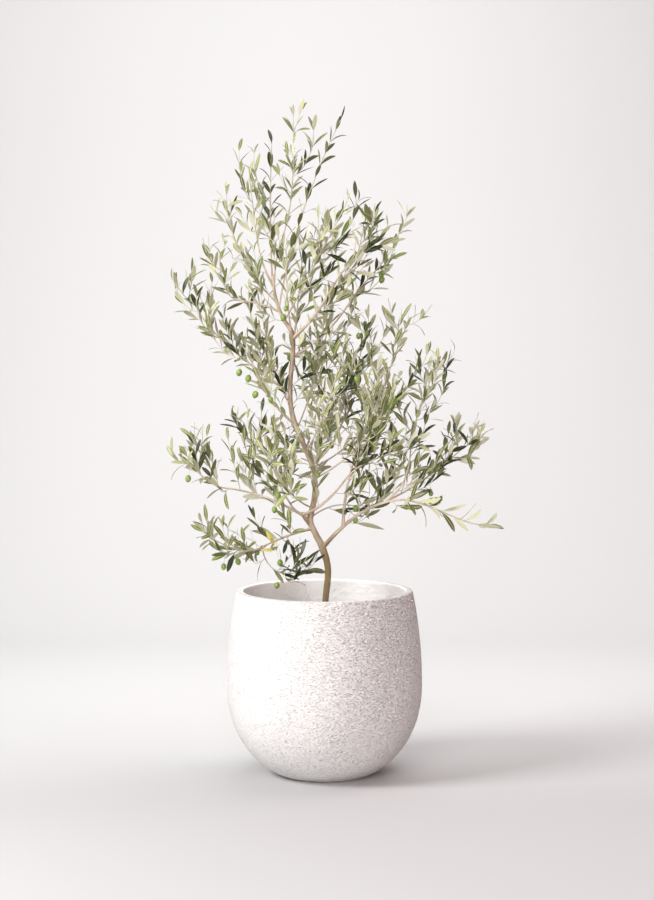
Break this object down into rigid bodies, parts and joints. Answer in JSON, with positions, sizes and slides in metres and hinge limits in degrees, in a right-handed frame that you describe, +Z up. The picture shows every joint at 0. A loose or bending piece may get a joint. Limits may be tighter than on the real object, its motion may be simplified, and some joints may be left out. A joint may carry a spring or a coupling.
{
  "type": "potted olive tree",
  "caption": "Young olive tree with a bent slender trunk, an airy crown of narrow grey-green leaves and green olives, in a round rough white planter.",
  "frame": {"origin": "middle of the planter's flat underside, which stands on the floor", "axes": "+Z is up along the tree, -Y is the front that the picture shows, +X is to its right"},
  "size_m": [0.6812, 0.4018, 1.347],
  "materials": {
    "planter_stone": "rough, matt, pitted",
    "potting_soil": "loose dark crumbs",
    "bark": "fine grey-brown bark",
    "foliage": "leathery grey-green"
  },
  "bodies": {
    "root": {"bough_arching": "bark", "bough_crossing": "bark", "bough_fork_stub": "bark", "bough_hanging": "bark", "bough_left_low": "bark", "bough_left_mid": "bark", "bough_left_rise": "bark", "bough_left_shelf": "bark", "bough_left_upper": "bark", "bough_right_leader": "bark", "bough_right_low": "bark", "bough_right_mid": "bark", "bough_right_outer": "bark", "bough_right_reach": "bark", "bough_right_riser": "bark", "bough_right_shelf": "bark", "bough_right_tall": "bark", "bough_top_centre": "bark", "bough_top_left": "bark", "foliage_arching": "foliage", "foliage_back_low": "foliage", "foliage_centre_back": "foliage", "foliage_centre_front": "foliage", "foliage_crossing": "foliage", "foliage_hanging": "foliage", "foliage_left_back": "foliage", "foliage_left_edge": "foliage", "foliage_left_front": "foliage", "foliage_left_inner": "foliage", "foliage_left_low": "foliage", "foliage_left_mid": "foliage", "foliage_left_rise": "foliage", "foliage_left_shelf": "foliage", "foliage_left_upper": "foliage", "foliage_right_back": "foliage", "foliage_right_droop": "foliage", "foliage_right_edge": "foliage", "foliage_right_mid": "foliage", "foliage_right_outer": "foliage", "foliage_right_reach": "foliage", "foliage_right_shelf": "foliage", "foliage_right_tall": "foliage", "foliage_right_top": "foliage", "foliage_right_upper": "foliage", "foliage_riser_top": "foliage", "foliage_spire": "foliage", "foliage_top_inner": "foliage", "foliage_top_left": "foliage", "foliage_top_right": "foliage", "foliage_upper_back": "foliage", "foliage_upper_front": "foliage", "pot": "planter_stone", "soil": "potting_soil", "trunk": "bark"}
  },
  "joints": []
}
